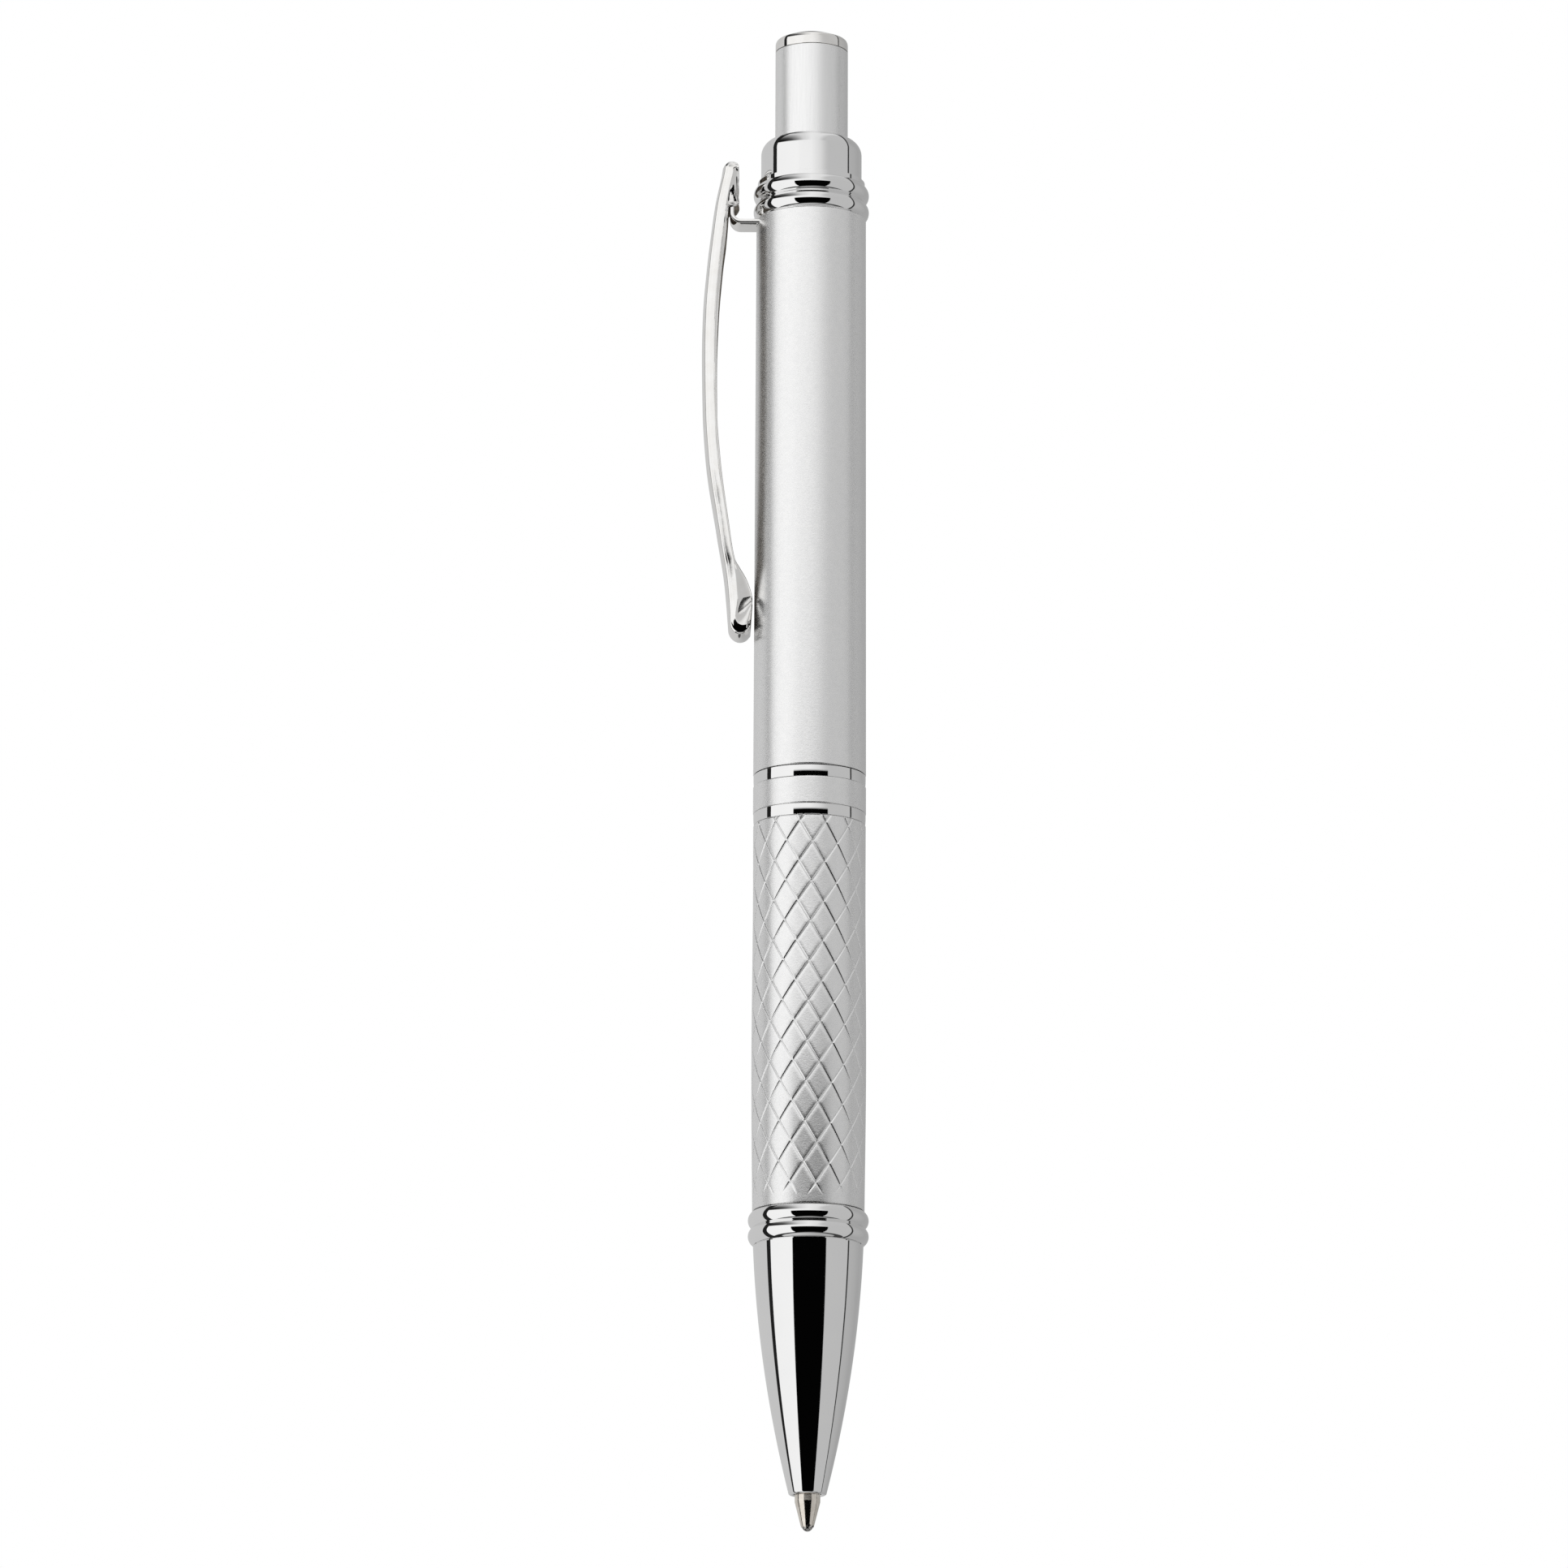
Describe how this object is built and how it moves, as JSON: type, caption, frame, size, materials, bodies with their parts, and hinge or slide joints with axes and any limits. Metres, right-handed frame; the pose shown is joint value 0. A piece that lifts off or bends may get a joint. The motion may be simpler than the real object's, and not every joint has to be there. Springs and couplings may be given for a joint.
{
  "type": "retractable ballpoint pen",
  "caption": "Slim metal retractable ballpoint pen with a diamond-cut grip, chrome cone and rings, pocket clip and push button.",
  "frame": {"origin": "lowest point of the writing ball, on the pen's axis, with the tip out as it is for writing", "axes": "+Z along the pen's axis from the writing tip to the push button; the pocket clip is on the -X side"},
  "size_m": [0.0154, 0.0108, 0.1396],
  "materials": {
    "satin_silver": "fine satin, silver",
    "polished_chrome": "mirror-polished plating",
    "clip_chrome": "mirror-polished plating on pressed sheet, slightly wavy",
    "cap_chrome": "polished plating, slightly warm",
    "nickel_silver": "turned nickel silver with a film of black ink near the ball",
    "carbide": "ground tungsten carbide, wet with ink",
    "brass": "turned brass",
    "steel": "plain drawn steel",
    "ink_paste": "black paste ink",
    "white_plastic": "moulded acetal, natural white"
  },
  "bodies": {
    "barrel": {"barrel_tube": "satin_silver", "barrel_bush": "brass", "clip_bracket": "clip_chrome", "clip_ring": "polished_chrome", "collar": "polished_chrome", "cam_guide": "white_plastic"},
    "clip": {"pocket_clip": "clip_chrome"},
    "button": {"button_tube": "satin_silver", "button_cap": "cap_chrome", "plunger": "white_plastic"},
    "rotor": {"rotor": "white_plastic"},
    "refill": {"refill_tip": "nickel_silver", "refill_neck": "brass", "refill_tube": "steel", "ink": "ink_paste", "refill_plug": "white_plastic"},
    "ball": {"writing_ball": "carbide"},
    "spring": {"return_spring": "steel"},
    "front": {"nose_cone": "polished_chrome", "nose_ring": "polished_chrome", "grip_tube": "satin_silver", "joint_coupler": "polished_chrome", "joint_band": "satin_silver"}
  },
  "joints": [
    {"name": "button_slide", "type": "slide", "parent": "barrel", "child": "button", "axis": [0, 0, 1], "range_m": [-0.0013, 0.0046], "stiffness_N_per_m": 600, "deforming": ["return_spring"]},
    {"name": "refill_slide", "type": "slide", "parent": "barrel", "child": "refill", "axis": [0, 0, 1], "range_m": [-0.0013, 0.0046]},
    {"name": "rotor_turn", "type": "hinge", "parent": "button", "child": "rotor", "pos_m": [0, 0, 0.1], "axis": [0, 0, 1], "continuous": true},
    {"name": "ball_roll", "type": "hinge", "parent": "refill", "child": "ball", "pos_m": [0, 0, 0.0005], "axis": [0, 1, 0], "continuous": true},
    {"name": "clip_flex", "type": "hinge", "parent": "barrel", "child": "clip", "pos_m": [-0.0071, 0, 0.1216], "axis": [0, 1, 0], "range_deg": [0, 5], "stiffness_Nm_per_rad": 1.4, "springref_deg": -1.15},
    {"name": "front_travel", "type": "slide", "parent": "barrel", "child": "spring", "axis": [0, 0, -1], "range_m": [0, 0.004]},
    {"name": "front_unscrew", "type": "hinge", "parent": "spring", "child": "front", "pos_m": [0, 0, 0.069], "axis": [0, 0, -1], "range_deg": [0, 1440]}
  ],
  "couplings": [
    {"joint": "refill_slide", "follows": "button_slide", "ratio": 1},
    {"joint": "front_travel", "follows": "front_unscrew", "m_per_rad": 0.00015915}
  ]
}
